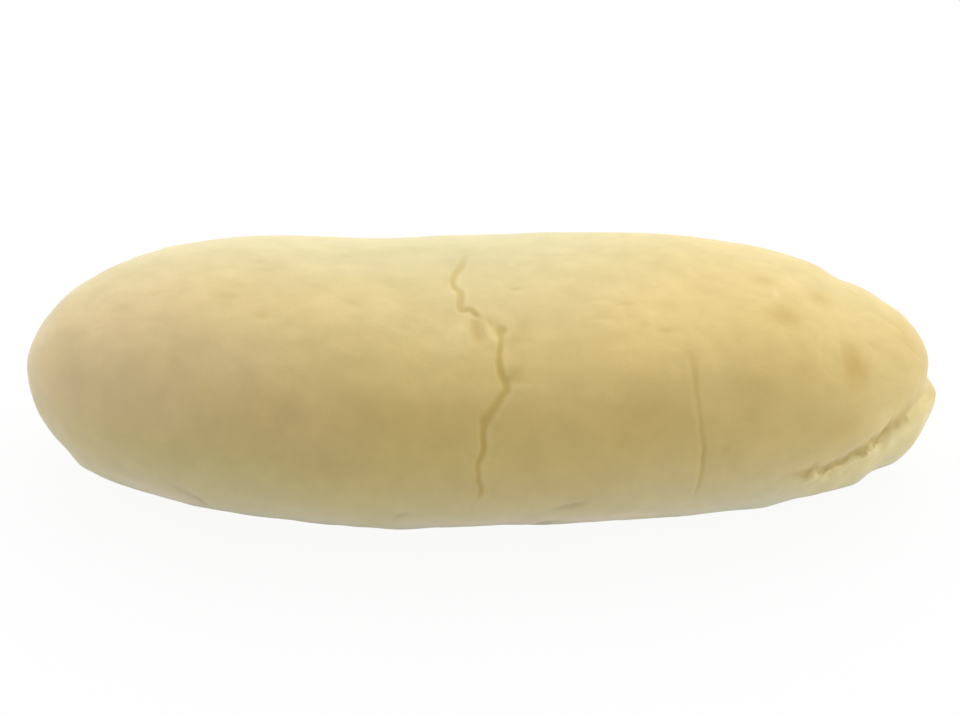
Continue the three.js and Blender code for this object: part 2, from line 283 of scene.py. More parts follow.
# Cells of the noise's lattice each way, and the seed of each of its uses
LATTICE = 64
SEEDS = {
    "jags": 11, "tear": 13, "crack": 14, "rag": 15, "dents": 16, "lumps": 17, "patches": 19, "roof": 20,
    "flake": 41, "fold": 51, "skin": 71, "uneven": 81, "wrinkles": 91, "bend": 92, "tray": 101, "blotch": 102,
    "pits": 103,
}

# Size of the unevenness of the crust's colours
UNEVEN_CELL = 9.0
# Pale flanks, partly paler crust and partly painted sheen of the white floor: share, ramp of the angle by
# which they look down, bells added to it, unevenness
FLANK_SHARE, FLANK_LOWNESS = 0.85, (-10.0, 45.0)
FLANK_RISE, FLANK_UNEVENNESS = ((38.0, 16.0, 4.0),), 0.2
# What they lose to the left and underneath, a share and its ramp, and bells of what they lose by the lip
FLANK_LEFT, FLANK_UNDER = (0.1, 5.0, 35.0), (0.4, 29.0, 50.0)
FLANK_GAP = ((59.0, 8.0, 0.32),)
# Cracks on the flanks, and over the crest by a ramp of girth angle: share of hollow colour as painted shade,
# share of crack lost
FLANK_HOLLOW, FLANK_CLEARING = 0.5, 0.65
CREST_GIRTH, CREST_HOLLOW, CREST_CLEARING = (50.0, 76.0), 0.12, 0.15
# Pale left tip: share, and ramp of the distance left of the middle
LEFT_TIP, LEFT_TIP_PLACES = 0.15, (72.0, 78.0)
# Blush of the left end: where it starts left of the middle, share, unevenness
BLUSH_START, BLUSH_SHARE, BLUSH_UNEVENNESS = 12.0, 0.92, 0.2
# What it loses to the back and downwards: share and ramp
BLUSH_BACK, BLUSH_FACING = 0.6, (-0.56, 0.36)
BLUSH_LOW, BLUSH_LOWNESS = 0.5, (-8.0, 18.0)
# Blush of the foot: height, reach, ramp of the angle by which it looks down, share, bells of more of it
FOOT_HEIGHT, FOOT_REACH, FOOT_LOWNESS = 0.4, 0.8, (14.0, 28.0)
FOOT_BLUSH, FOOT_FULLER = 0.2, ((-12.0, 28.0, 0.35),)
# Crest painted duller, standing in for the back light's grazing sheen: ramps from front to back and
# downwards, and what it loses to the right
CREST_FACING, CREST_LOWNESS, CREST_RIGHT = (-0.38, 0.54), (-22.0, 6.0), (0.8, 8.0, 48.0)
# Patches of colour, the paleness patch below the crest being painted sheen: mask, place along the roll,
# reach, girth angle, reach, share, unevenness
PATCHES = (
    ("paleness", 3.0, 24.0, 80.0, 18.0, 0.13, 0.0),
    ("golden", 28.0, 30.0, 60.0, 32.0, 0.75, 0.3),
    ("golden", 70.0, 9.0, 22.0, 24.0, 0.4, 0.0),
)
# Bands of painted shade along the front, in the shade colour low on the left and in the browned colour higher
# up: mask, place along the roll, reach, angle by which it looks down, reach, share
BANDS = (("shade", -44.0, 32.0, 0.0, 14.0, 0.6), ("browning", -6.0, 36.0, -23.0, 10.0, 0.17))
# Ramp from the sides to the front, over which the bands grow
FRONT_FACING = (0.0, 0.4)

# Layers of the crust's colour, each over the last: mask, colour; crest is painted sheen, paleness partly
# painted sheen, shade and hollow painted shade, crack partly painted shade
LAYERS = (
    ("crest", "crest"), ("golden", "golden"), ("blush", "blush"), ("shade", "shade"), ("paleness", "pale"),
    ("rim", "rim"), ("browning", "browned"), ("torn", "crumb"), ("underside", "underside"),
    ("hollow", "hollow"), ("crack", "crack"),
)

# Counts of stations, girth lines and the fine places they are picked from; outline's share past each tip
STATION_COUNT, LINE_COUNT, FINE_COUNT = 412, 236, 6001
TIP_SHARE = 0.0012
# Closer stations: bells at the crack and the fold, and a share with its ramp at the right end
CLOSE_STATIONS = ((0.5, 6.0, 2.4), (36.5, 2.5, 1.2))
CLOSE_END, CLOSE_END_PLACES = 0.35, (50.0, 58.0)
# Girth line of the base's edge below the waist, and its angle from the crest
FOOT_LINE = 54.0
FOOT_SIDE = 90.0 + FOOT_LINE
# Closer girth lines: bells at the front and below the crest, and at the base's edge
CLOSE_LINES, CLOSE_FOOT = ((0.0, 9.0, 0.9), (69.0, 11.0, 0.5)), ((FOOT_SIDE, 3.5, 0.8),)
# Wider girth lines over the back and underneath: share and ramp
WIDE_BACK, WIDE_UNDER = (0.35, 110.0, 140.0), (0.65, FOOT_SIDE + 2.0, FOOT_SIDE + 16.0)
# Most that the crust's box may stray from the sizes asked for
BOX_TOLERANCE = 1.5

# Torn crumbs: how many, where along the roll, between which shares of the torn edge and how far down
CRUMB_COUNT, CRUMB_SEED = 8, 5
CRUMB_SPAN, CRUMB_EDGE, CRUMB_DROP = (57.0, 71.0), (0.2, 0.9), 3 * EDGE_DROP
# Least and most of a crumb's size and of its stretch three ways; sink, lumps and their size in crumb radii
CRUMB_SIZES, CRUMB_STRETCH = (0.5, 1.1), ((1.0, 0.6, 0.4), (2.2, 1.2, 0.8))
CRUMB_SINK, CRUMB_LUMP, CRUMB_CELL = 0.3, 0.25, 1.3
CRUMB_RINGS, CRUMB_SIDES = 9, 14

# Bread's grain: size in metres and detail of its fine, broad and surface noise and of its puffs' swirls
FINE_GRAIN, BROAD_GRAIN, SURFACE_GRAIN, SWIRL_GRAIN = (0.0016, 4), (0.006, 3), (0.0007, 5), (0.004, 2)
# Size of the puffs and reach of the swirls in metres; size of a speck in puffs and how rare it is
PUFF_SIZE, SWIRL_REACH = 0.0045, 0.004
SPECK_SIZE, SPECK_RARITY = 0.07, 0.6
# How much fine noise, broad noise, puffs and specks change the colour; value at which the first three don't
FINE_CHANGE, BROAD_CHANGE, PUFF_CHANGE, SPECK_CHANGE = 0.7, 1.7, 0.7, 0.5
GRAIN_MIDDLE = 0.5
# Bread's finish: depth of its bumps in metres, roughness and how height changes it, shine and sheen
BUMP_DEPTH = 0.0002
ROUGHNESS, ROUGHNESS_CHANGE = 0.6, 0.15
BREAD_FINISH = {"Specular IOR Level": 0.18, "Sheen Weight": 0.26, "Sheen Roughness": 0.5}

# Photo's frame in pixels, the pixel at which the camera's aim appears and the aim's height over the floor
FRAME_WIDTH, FRAME_HEIGHT = 960, 716
AIM_PIXEL = (478.0, 361.0)
AIM_HEIGHT = 20.0
# Pixels for each millimetre at the aim, and the width of the camera's sensor
PIXELS_PER_MM = 5.74
SENSOR_WIDTH = 36.0

# Soft sources of the surroundings: the direction of each, their colour and the power that narrows them
SOURCES = {
    "back": (0.0, 0.87, 0.5),
    "left": (-0.95, 0.0, 0.3),
    "right": (0.95, 0.0, 0.3),
}
SOURCE_COLOUR = (1.0, 1.0, 1.0)
SOURCE_POWER = 2.0
# Floor, in metres: side, and how far it lies under the roll
FLOOR_SIDE = 6.0
FLOOR_DROP = 0.00005


def length_property(name, description, default):
    """A length that the user can change, in metres."""
    return bpy.props.FloatProperty(name=name, description=description, default=default, unit="LENGTH")


class RollSizes(bpy.types.PropertyGroup):
    """Sizes of the finished roll and of the relief in its crust."""

    length: length_property("Length", "Whole length, with the torn lip", ROLL_SIZE.x)
    width: length_property("Width", "Whole width, front to back", ROLL_SIZE.y)
    height: length_property("Height", "Height of the crest above the base", ROLL_SIZE.z)
    crack_depth: length_property("Crack depth", "Depth of the crack over the middle", 0.00019)
    crack_width: length_property("Crack width", "Usual width of the crack", 0.0012)
    fold_depth: length_property("Fold depth", "Depth of the fold near the right end", 0.00013)
    crevice_depth: length_property("Crevice depth", "Depth of the torn crevice", 0.00085)
    lip_reach: length_property("Lip reach", "How far the torn lip stands out", 0.0017)
    skin_relief: length_property("Skin relief", "Unevenness of the crust's skin", 0.0001)
    crumb_size: length_property("Crumb size", "Usual width of a torn crumb", 0.0011)


SizesMm = collections.namedtuple("SizesMm", RollSizes.__annotations__)


def in_millimetres(sizes):
    """The sizes of the property group in millimetres."""
    return SizesMm(*(getattr(sizes, name) / MM for name in SizesMm._fields))


def colour_property(name, description, default):
    """A colour that the user can change, in linear red, green and blue."""
    return bpy.props.FloatVectorProperty(
        name=name, description=description, default=default, size=3, subtype="COLOR", min=0.0, max=1.0)


class RollColours(bpy.types.PropertyGroup):
    """Colours of the crust and of the crumb where it is torn."""

    crust: colour_property("Crust", "Soft straw-yellow crust", (0.67, 0.515, 0.198))
    browned: colour_property("Browned", "Spots that the oven browned", (0.55, 0.35, 0.085))
    # Pale colour: partly the paler crust of the lower flanks, partly painted sheen of the white floor
    pale: colour_property("Pale", "Flanks that stayed pale", (0.69, 0.72, 0.58))
    # Crack colour: partly the skin's own colour, partly painted shade in the crack, the fold, the dents and
    # under the crevice's roof
    crack: colour_property("Crack", "Skin inside the crack, the fold and the crevice", (0.58, 0.42, 0.118))
    # Crest colour: painted sheen, a duller tone over the crest and back in place of the back light's grazing
    # sheen
    crest: colour_property("Crest", "Duller crust over the crest", (0.62, 0.54, 0.265))
    golden: colour_property("Golden", "Brighter crust right of the crack", (0.80, 0.60, 0.235))
    blush: colour_property("Blush", "Left end and foot", (0.80, 0.62, 0.36))
    # Shade colour: painted shade, darker low on the left front
    shade: colour_property("Shade", "Duller crust low on the left", (0.56, 0.49, 0.185))
    rim: colour_property("Rim", "Pinkish rim above the base", (0.95, 0.76, 0.63))
    # Hollow colour: painted shade in creases, dents and cracks on flanks and crest, on the torn lip and at
    # the dark edge above the base
    hollow: colour_property("Hollow", "Creases, dull lip and dark edge above the base", (0.42, 0.36, 0.25))
    underside: colour_property("Underside", "Base that lay on the tray", (0.55, 0.39, 0.19))
    # The crumb colour also serves as the painted highlight beside the crack
    crumb: colour_property("Crumb", "Torn crumb and light flecks", (0.84, 0.71, 0.34))


class RollStage(bpy.types.PropertyGroup):
    """Camera, floor and soft light."""

    elevation: bpy.props.FloatProperty(
        name="Elevation", description="Angle at which the camera looks down", default=math.radians(36),
        subtype="ANGLE")
    distance: length_property("Distance", "From the camera to the roll's middle", 0.52)
    floor: colour_property("Floor", "Plain pale floor", (0.9, 0.9, 0.9))
    backdrop: colour_property("Backdrop", "Surroundings as the camera sees them", (1.0, 1.0, 1.0))
    back: bpy.props.FloatProperty(name="Back light", description="Strength from behind", default=2.28)
    left: bpy.props.FloatProperty(name="Left light", description="Strength from the left", default=0.80)
    right: bpy.props.FloatProperty(name="Right light", description="Strength from the right", default=1.62)
    floor_glow: bpy.props.FloatProperty(
        name="Floor glow", description="Share of the floor that the camera sees unshaded", default=0.92,
        subtype="FACTOR")
    floor_bounce: bpy.props.FloatProperty(
        name="Floor bounce", description="Share of the floor that lights the roll evenly", default=0.35,
        subtype="FACTOR")


def bell(distance, reach):
    """Bell-shaped weight: 1 at no distance and next to nothing two reaches away."""
    return np.exp(-((distance / reach) ** 2))


def bells(position, rows):
    """Sum of bells along a line, each with its own place, reach and height."""
    return sum(height * bell(position - place, reach) for place, reach, height in rows)


def smooth(value, low, high):
    """Smooth step from 0 at low to 1 at high."""
    share = np.clip((value - low) / (high - low), 0, 1)
    return share * share * (3 - 2 * share)


def lessen(value, share, low, high):
    """1 up to low, and less by a share from high on, with a smooth step between them."""
    return 1 - share * smooth(value, low, high)


def trace(path, position):
    """Straight lines between the (position, value) corners of a short path."""
    places, values = np.transpose(path)
    return np.interp(position, places, values)


def unit(vectors):
    """The same directions at length 1."""
    return vectors / np.linalg.norm(vectors, axis=-1, keepdims=True)


def lattice_noise(points, cell, seed):
    """Smooth noise from -1 to 1: random values on a lattice, blended between the corners of each cell."""
    values = np.random.default_rng(seed).uniform(-1, 1, (LATTICE,) * 3)
    place = points / cell
    corner = np.floor(place).astype(int)
    share = smooth(place - corner, 0, 1)
    total = np.zeros(points.shape[:-1])
    for step in np.ndindex(2, 2, 2):
        weight = np.where(step, share, 1 - share).prod(axis=-1)
        index = (corner + step) % LATTICE
        total += weight * values[index[..., 0], index[..., 1], index[..., 2]]
    return total


def line_noise(position, cell, seed):
    """Smooth noise from -1 to 1 along one line."""
    points = np.stack([position, 0 * position, 0 * position], axis=-1)
    return lattice_noise(points, cell, seed)


def both_ends(x, reach, fullness):
    """Share of the full size along the roll: root of 1 less a power of the way left to each rounded end."""
    left = np.clip(1 - (HALF_LENGTH + x) / reach[0], 0, 1)
    right = np.clip(1 - (HALF_LENGTH - x) / reach[1], 0, 1)
    return np.sqrt((1 - left ** fullness[0]) * (1 - right ** fullness[1]))


def middle_line(x):
    """How far behind the middle the roll's own middle line lies: a bow, less a bell at the swelling."""
    return BOW * (x / HALF_LENGTH) ** 2 - bells(x, FRONT_SWELLING)


def section(x):
    """Cross-section along the roll: its plan share, waist height, and rise and drop from the waist.

    Waist, crest and base go from the height of the tips to their own by the shares of the rounded ends.
    """
    plan = both_ends(x, PLAN_REACH, PLAN_FULLNESS)
    crest = both_ends(x, CREST_REACH, PLAN_FULLNESS)
    base = both_ends(x, BASE_REACH, BASE_FULLNESS)
    tip = np.interp(x, (-HALF_LENGTH, HALF_LENGTH), TIP_HEIGHT)
    waist = tip + (WAIST_HEIGHT - tip) * plan
    rise = tip + (FORM_HEIGHT - tip - bells(x, SHOULDER_DENT)) * crest - waist
    drop = waist - (tip * (1 - base) - BASE_SINK * base)
    return plan, waist, rise, drop


def body(x, girth):
    """Plain body: two half ovals of their own powers above and below the waist, swelled by the soft waves."""
    plan, waist, rise, drop = section(x)
    turn = np.radians(girth)
    across, upward = np.cos(turn), np.sin(turn)
    power = np.where(upward > 0, DOME_POWER, BELLY_POWER)
    size = (np.abs(across) ** power + np.abs(upward) ** power) ** (-1 / power)
    swell = np.zeros(np.broadcast(x, girth).shape)
    for height, length, lobes, start in WAVES:
        along = np.sin(2 * np.pi * x / length + np.radians(start))
        swell = swell + height * along * np.cos(np.radians(lobes * girth + start))
    size = size * (1 + swell * plan / HALF_WIDTH)
    y = middle_line(x) - HALF_WIDTH * plan * size * across
    z = waist + np.where(upward > 0, rise, drop) * size * upward
    return np.stack(np.broadcast_arrays(x, y, z), axis=-1)


def foot_angle(x):
    """Girth angle below the front at which the lower half oval has dropped from the waist to the floor."""
    _, waist, _, drop = section(x)
    share = np.minimum(waist / drop, 1)
    aside = (1 - share ** BELLY_POWER) ** (1 / BELLY_POWER)
    return np.minimum(np.degrees(np.arctan2(share, aside)), STEEPEST_FOOT)


def crevice_rise(x, back):
    """Girth angle above the waist of the crevice: its path, made ragged by noise along the roll."""
    path = np.where(back, trace(CREVICE_BACK, x), trace(CREVICE_FRONT, x))
    ragged = smooth(x, *JAG_START) * smooth(HALF_LENGTH - x, *JAG_END)
    for i, (length, angle) in enumerate(CREVICE_JAGS):
        path = path + angle * ragged * line_noise(x, length, SEEDS["jags"] + i)
    return path


def line_angle(station, line):
    """Angle of a girth line: those below the waist follow the floor, and those near it follow the crevice."""
    back = line > 90
    girth = np.where(back, 180 - line, line)
    foot = foot_angle(station)
    under = -90 + (girth + 90) * (90 - foot) / (90 - FOOT_LINE)
    girth = np.where(girth < -FOOT_LINE, under, np.where(girth < 0, girth * foot / FOOT_LINE, girth))
    girth = girth + crevice_rise(station, back) * bell(girth, CREVICE_GIRTH_REACH)
    return np.where(back, 180 - girth, girth)


def stations():
    """Places along the roll at equal steps of its outline, closer at crack, fold and right end."""
    x = -HALF_LENGTH * np.cos(np.linspace(0, math.pi, FINE_COUNT))
    steps = np.hypot(np.diff(x), np.diff(HALF_WIDTH * both_ends(x, PLAN_REACH, PLAN_FULLNESS)))
    middle = (x[1:] + x[:-1]) / 2
    closeness = 1 + bells(middle, CLOSE_STATIONS) + CLOSE_END * smooth(middle, *CLOSE_END_PLACES)
    total = np.concatenate([[0], np.cumsum(steps * closeness)])
    return np.interp(np.linspace(TIP_SHARE, 1 - TIP_SHARE, STATION_COUNT) * total[-1], total, x)


def girth_lines():
    """Girth lines at equal steps round the middle, closer on the front and top and wider underneath."""
    line = np.linspace(-90, 270, FINE_COUNT)
    steps = np.linalg.norm(np.diff(body(0.0, line), axis=0), axis=-1)
    middle = (line[1:] + line[:-1]) / 2
    side = np.abs(middle - 90)
    closeness = (1 + bells(middle, CLOSE_LINES)) * lessen(middle, *WIDE_BACK) * lessen(side, *WIDE_UNDER)
    total = np.concatenate([[0], np.cumsum(steps * (closeness + bells(side, CLOSE_FOOT)))])
    return np.interp(np.arange(LINE_COUNT) / LINE_COUNT * total[-1], total, line)


def to_spine(points):
    """Direction from each point to the nearest point of the roll's spine."""
    x = np.clip(points[..., 0], -SPINE_END, SPINE_END)
    spine = np.stack([x, middle_line(x), np.full_like(x, WAIST_HEIGHT)], axis=-1)
    return unit(spine - points)


def grid_normals(points):
    """Outward normals of a grid that closes round the roll: steps along it crossed with steps round it."""
    along = np.gradient(points, axis=0)
    around = np.roll(points, -1, axis=1) - np.roll(points, 1, axis=1)
    return unit(np.cross(along, around))


def path_points(path, seed):
    """Points every PATH_STEP of a path on the body, wobbling a little, with their width and depth shares."""
    corners = np.array(path)
    lengths = np.linalg.norm(np.diff(body(corners[:, 0], corners[:, 1]), axis=0), axis=-1)
    total = np.concatenate([[0], np.cumsum(lengths)])
    along = np.linspace(0, total[-1], max(PATH_LEAST, int(total[-1] / PATH_STEP)))
    x, girth, width, depth = (np.interp(along, total, column) for column in corners.T)
    x = x + PATH_WOBBLE * line_noise(along, WOBBLE_CELL, seed)
    girth = girth + WOBBLE_TURN * line_noise(along, WOBBLE_CELL, seed + 1)
    return body(x, girth), width, depth


def path_distance(points, normals, path, seed):
    """Distance of each point from a path's nearest step, its side, and the width and depth shares there."""
    places, width, depth = path_points(path, seed)
    nearest = np.full(points.shape[:-1], np.inf)
    side, wide, deep = np.zeros((3, *nearest.shape))
    for i, start in enumerate(places[:-1]):
        step = places[i + 1] - start
        offset = points - start
        share = np.clip(offset @ step / (step @ step), 0, 1)
        offset = offset - share[..., None] * step
        distance = np.linalg.norm(offset, axis=-1)
        closer = distance < nearest
        nearest = np.where(closer, distance, nearest)
        side = np.where(closer, np.sign((np.cross(step, offset) * normals).sum(axis=-1)), side)
        wide = np.where(closer, width[i] + share * (width[i + 1] - width[i]), wide)
        deep = np.where(closer, depth[i] + share * (depth[i + 1] - depth[i]), deep)
    return nearest, side, wide, deep


def groove(distance, half_width):
    """Cross-section of a groove: 1 over its narrow floor, falling smoothly to 0 just past its half width."""
    return 1 - smooth(distance, GROOVE_FLOOR * half_width, GROOVE_SIDE * half_width)


class CrustShape:
    """The crust on its grid: points and normals in the frame's millimetres, girth angles and colour masks."""

    def __init__(self, sizes):
        self.sizes = sizes
        station = stations()[:, None]
        self.line = girth_lines()[None, :]
        self.girth = line_angle(station, self.line)
        self.x = np.broadcast_to(station, self.girth.shape)
        self.points = body(self.x, self.girth)
        self.normals = grid_normals(self.points)
        self.lift = np.zeros(self.girth.shape)
        self.masks = {mask: np.zeros(self.girth.shape) for mask, _ in LAYERS}
        self.part_lip()
        self.cut_creases()
        self.press_fold()
        self.add_marks()
        self.add_skin()
        self.shade_regions()
        self.shade_base()
        self.finish()

    def deepen(self, mask, share):
        """Raises a mask to a share wherever it is less."""
        self.masks[mask] = np.maximum(self.masks[mask], share)

    def part_lip(self):
        """Cuts the crevice, pushes the lip below it out from the right end and tucks in the crust above it.

        Over the height above the crevice the cut is a bell, the lip a step, and the tuck a step times a bell.
        Noise makes the torn edge ragged and the lip lumpy.
        """
        back = np.cos(np.radians(self.girth)) < 0
        rise = crevice_rise(self.x, back)
        edge = body(self.x, np.where(back, 180 - rise, rise))
        above = self.points[..., 2] - edge[..., 2]
        depth = np.where(back, trace(CREVICE_BACK_DEPTH, self.x), trace(CREVICE_FRONT_DEPTH, self.x))
        depth = depth * (1 + CREVICE_PATCHES * line_noise(self.x, PATCH_CELL, SEEDS["patches"]))
        depth = depth * smooth(self.x, SPINE_END, SPINE_END + CREVICE_ONSET)
        cut = depth * bell(above, np.where(above > 0, CREVICE_ROOF, CREVICE_SLOPE))
        outward = self.points - np.array([SPINE_END, middle_line(SPINE_END), 0.0])
        outward[..., 2] = 0
        outward = unit(outward)
        tip = smooth(self.x, *TUCK_PLACES)
        over = above + LIP_DROP * tip
        front = 1 - smooth(outward[..., 1], *LIP_END)
        lip = smooth(-over, 0, LIP_EDGE) * smooth(self.x, *LIP_PLACES) * front
        tuck = smooth(over, *TUCK_EDGE) * bell(over, TUCK_REACH) * tip
        ragged = above + EDGE_DROP + EDGE_RAG * lattice_noise(self.points, TEAR_CELL, SEEDS["rag"])
        below = smooth(-ragged, -EDGE_SOFTNESS, EDGE_SOFTNESS)
        self.crumb_bed = (below > CRUMB_EDGE[0]) & (below < CRUMB_EDGE[1]) & (above > -CRUMB_DROP) & ~back
        self.crumb_bed &= (self.x > CRUMB_SPAN[0]) & (self.x < CRUMB_SPAN[1])
        tear = depth * bell(above + TEAR_DROP, TEAR_DROP)
        tear *= lattice_noise(self.points, TEAR_CELL, SEEDS["tear"])
        lumps = smooth(-above, 0, LUMP_EDGE) * smooth(self.x, SPINE_END, LIP_PLACES[0])
        lumps *= lattice_noise(self.points, LIP_CELL, SEEDS["lumps"])
        sink = self.sizes.crevice_depth * cut + TUCK_DEPTH * tuck + TEAR_DEPTH * tear + LIP_LUMP * lumps
        self.points = self.points + to_spine(self.points) * sink[..., None]
        self.points = self.points + outward * (self.sizes.lip_reach * lip)[..., None]
        roof = above + ROOF_RAG * lattice_noise(self.points, TEAR_CELL, SEEDS["roof"])
        torn = below * np.where(back, depth, trace(BARE_FRONT, self.x))
        # Painted shade under the crevice's roof, in the crack colour
        self.masks["crack"] += ROOF_SHADE * depth * (1 - below) * (1 - smooth(roof, *ROOF_END))
        self.masks["torn"] += torn * bell(np.minimum(above + TEAR_DROP, 0), BARE_REACH)
        # Painted shade on the torn lip
        self.masks["hollow"] += LIP_SHADE * torn * (1 - smooth(self.x, *LIP_SHADE_END))

    def cut_creases(self):
        """Cuts the crack, the dents beside it and the creases above the base, lifts the flake, and paints
        shade into the cuts and a highlight beside the crack.

        The crack and the flake are grooves along their paths; dents and creases are bells across theirs.
        """
        depth = self.sizes.crack_depth
        half_width = self.sizes.crack_width / 2
        for path in (CRACK_UPPER, CRACK_LOWER):
            distance, side, wide, deep = path_distance(self.points, self.normals, path, SEEDS["crack"])
            cut = groove(distance, half_width * wide) * deep
            self.lift -= depth * cut
            # Painted highlight on the lit edge beside the crack, in the crumb colour
            self.masks["torn"] += CRACK_HIGHLIGHT * bell(distance * side - HIGHLIGHT_ASIDE, HIGHLIGHT_REACH) * deep
            # Crack colour in the groove: partly the skin's own colour, partly painted shade
            self.deepen("crack", CRACK_DARKNESS * np.minimum(cut, 1))
        soft_paths = [(path, DENT_SHARES) for path in DENTS]
        soft_paths += [(path, LOW_CREASE_SHARES) for path in LOW_CREASES]
        for i, (path, (sink, crack, hollow)) in enumerate(soft_paths):
            distance, _, wide, deep = path_distance(self.points, self.normals, path, SEEDS["dents"] + 2 * i)
            dent = bell(distance, DENT_WIDTH * half_width * wide) * deep
            self.lift -= sink * depth * dent
            # Painted shade in the dents and creases, in the crack and hollow colours
            self.deepen("crack", crack * dent)
            self.deepen("hollow", hollow * dent)
        distance, _, wide, deep = path_distance(self.points, self.normals, FLAKE_PATH, SEEDS["flake"])
        flake = groove(distance, FLAKE_WIDTH * half_width * wide) * deep
        self.lift += FLAKE_LIFT * depth * flake
        self.masks["golden"] += FLAKE_GOLD * flake

    def press_fold(self):
        """Presses the fold in: a valley with a lower ridge beside it, each a bell across the path, and paints
        shade into the valley.
        """
        distance, side, wide, deep = path_distance(self.points, self.normals, FOLD_PATH, SEEDS["fold"])
        valley = bell(distance * side - VALLEY_ASIDE, VALLEY_REACH * wide) * deep
        ridge = bell(distance * side - RIDGE_ASIDE, RIDGE_REACH * wide) * deep
        self.lift += self.sizes.fold_depth * (RIDGE_HEIGHT * ridge - valley)
        # Painted shade in the fold's valley, in the crack colour
        self.deepen("crack", FOLD_SHADE * np.minimum(valley, FOLD_SHADE_LIMIT))

    def add_marks(self):
        """Lifts and browns or pales the crust at each mark: a bell of its half length and half girth."""
        for x, girth, half_length, half_girth, lift, browning in MARKS:
            one_degree = body(np.full(2, x), np.array([girth - 0.5, girth + 0.5]))
            arc = np.linalg.norm(one_degree[1] - one_degree[0])
            weight = bell(self.x - x, half_length) * bell((self.girth - girth) * arc, half_girth)
            self.lift += lift * weight
            self.masks["browning"] += max(browning, 0) * weight
            self.masks["torn"] += max(-browning, 0) * weight

    def add_skin(self):
        """Adds the skin's unevenness, layers of noise, and its wrinkles, where a bent noise passes zero."""
        for i, (cell, share) in enumerate(SKIN_LAYERS):
            self.lift += self.sizes.skin_relief * share * lattice_noise(self.points, cell, SEEDS["skin"] + i)
        bend = [lattice_noise(self.points, BEND_CELL, SEEDS["bend"] + i) for i in range(3)]
        bent = self.points + BEND_REACH * np.stack(bend, axis=-1)
        wrinkle = bell(lattice_noise(bent, WRINKLE_CELL, SEEDS["wrinkles"]), WRINKLE_WIDTH)
        fullness = smooth(self.x, *WRINKLE_PLACES) * smooth(self.girth, *WRINKLE_GIRTH)
        self.lift -= WRINKLE_DEPTH * wrinkle * (WRINKLE_LEAST + (1 - WRINKLE_LEAST) * fullness)

    def shade_regions(self):
        """Masks of the crust's regions: bells and smooth steps over place, girth, facing and lowness.

        Facing goes from -1 at the front to 1 at the back.
        Lowness is the angle by which the surface looks down.
        """
        outward = -to_spine(self.points)
        facing = outward[..., 1]
        lowness = -np.degrees(np.arcsin(outward[..., 2]))
        uneven = lattice_noise(self.points, UNEVEN_CELL, SEEDS["uneven"])
        self.shade_flanks(lowness, uneven)
        self.shade_ends(facing, lowness, uneven)
        # The paleness patch below the crest is painted sheen
        for mask, x, reach, girth, girth_reach, share, unevenness in PATCHES:
            patch = share * bell(self.x - x, reach) * bell(self.girth - girth, girth_reach)
            self.masks[mask] += patch * (1 + unevenness * uneven)
        front = smooth(-facing, *FRONT_FACING)
        for mask, x, reach, low, low_reach, share in BANDS:
            # Painted shade on the front, away from the lights, in the shade and browned colours
            self.masks[mask] += share * bell(self.x - x, reach) * bell(lowness - low, low_reach) * front

    def shade_flanks(self, lowness, uneven):
        """Pales the flanks as they turn down, partly paler crust and partly painted sheen of the white floor,
        and the left tip; on flanks and crest the cracks' colour gives way to painted shade.
        """
        flank = smooth(lowness + bells(self.x, FLANK_RISE), *FLANK_LOWNESS) * (1 + FLANK_UNEVENNESS * uneven)
        flank *= lessen(-self.x, *FLANK_LEFT) - bells(self.x, FLANK_GAP)
        flank *= FLANK_SHARE * lessen(lowness, *FLANK_UNDER)
        crest = smooth(self.girth, *CREST_GIRTH)
        # Painted shade in the cracks on flanks and crest, in the hollow colour
        self.masks["hollow"] += (FLANK_HOLLOW * flank + CREST_HOLLOW * crest) * self.masks["crack"]
        self.masks["crack"] *= 1 - FLANK_CLEARING * flank - CREST_CLEARING * crest
        # Paleness: partly paler crust, partly painted sheen of the white floor on the downturned flanks
        self.masks["paleness"] += flank + LEFT_TIP * smooth(-self.x, *LEFT_TIP_PLACES)

    def shade_ends(self, facing, lowness, uneven):
        """Blushes the left end, more towards its tip, and the foot; paints sheen over the crest as a duller
        colour, less to the right.
        """
        left = np.clip((-self.x - BLUSH_START) / (HALF_LENGTH - BLUSH_START), 0, 1)
        left *= 1 - BLUSH_BACK * smooth(facing, *BLUSH_FACING) - BLUSH_LOW * smooth(lowness, *BLUSH_LOWNESS)
        foot = bell(self.points[..., 2] - FOOT_HEIGHT, FOOT_REACH) * smooth(lowness, *FOOT_LOWNESS)
        self.masks["blush"] += left * (BLUSH_SHARE + BLUSH_UNEVENNESS * uneven)
        self.masks["blush"] += (FOOT_BLUSH + bells(self.x, FOOT_FULLER)) * foot
        # Painted sheen over the crest and back, as a duller colour
        crest = smooth(facing, *CREST_FACING) * (1 - smooth(lowness, *CREST_LOWNESS))
        self.masks["crest"] += crest * lessen(self.x, *CREST_RIGHT)

    def shade_base(self):
        """Draws the rim and the dark edge of painted shade, bells round two girth angles, and browns the
        underside.
        """
        girth = np.where(self.girth > 90, 180 - self.girth, self.girth)
        self.masks["rim"] += trace(RIM_SHARES, self.x) * bell(girth - RIM_LINE, RIM_REACH)
        # Painted shade at the dark edge above the base, in the hollow colour
        self.deepen("hollow", trace(FOOT_SHADE_SHARES, self.x) * bell(girth - FOOT_SHADE_LINE, FOOT_SHADE_REACH))
        tray = lattice_noise(self.points, TRAY_CELL, SEEDS["tray"])
        blotch = lattice_noise(self.points, BLOTCH_CELL, SEEDS["blotch"])
        share = TRAY_SHARE + TRAY_CHANGE * tray + BLOTCH_CHANGE * blotch
        self.masks["underside"] += share * smooth(TRAY_WANDER * tray - self.points[..., 2], *TRAY_EDGE)

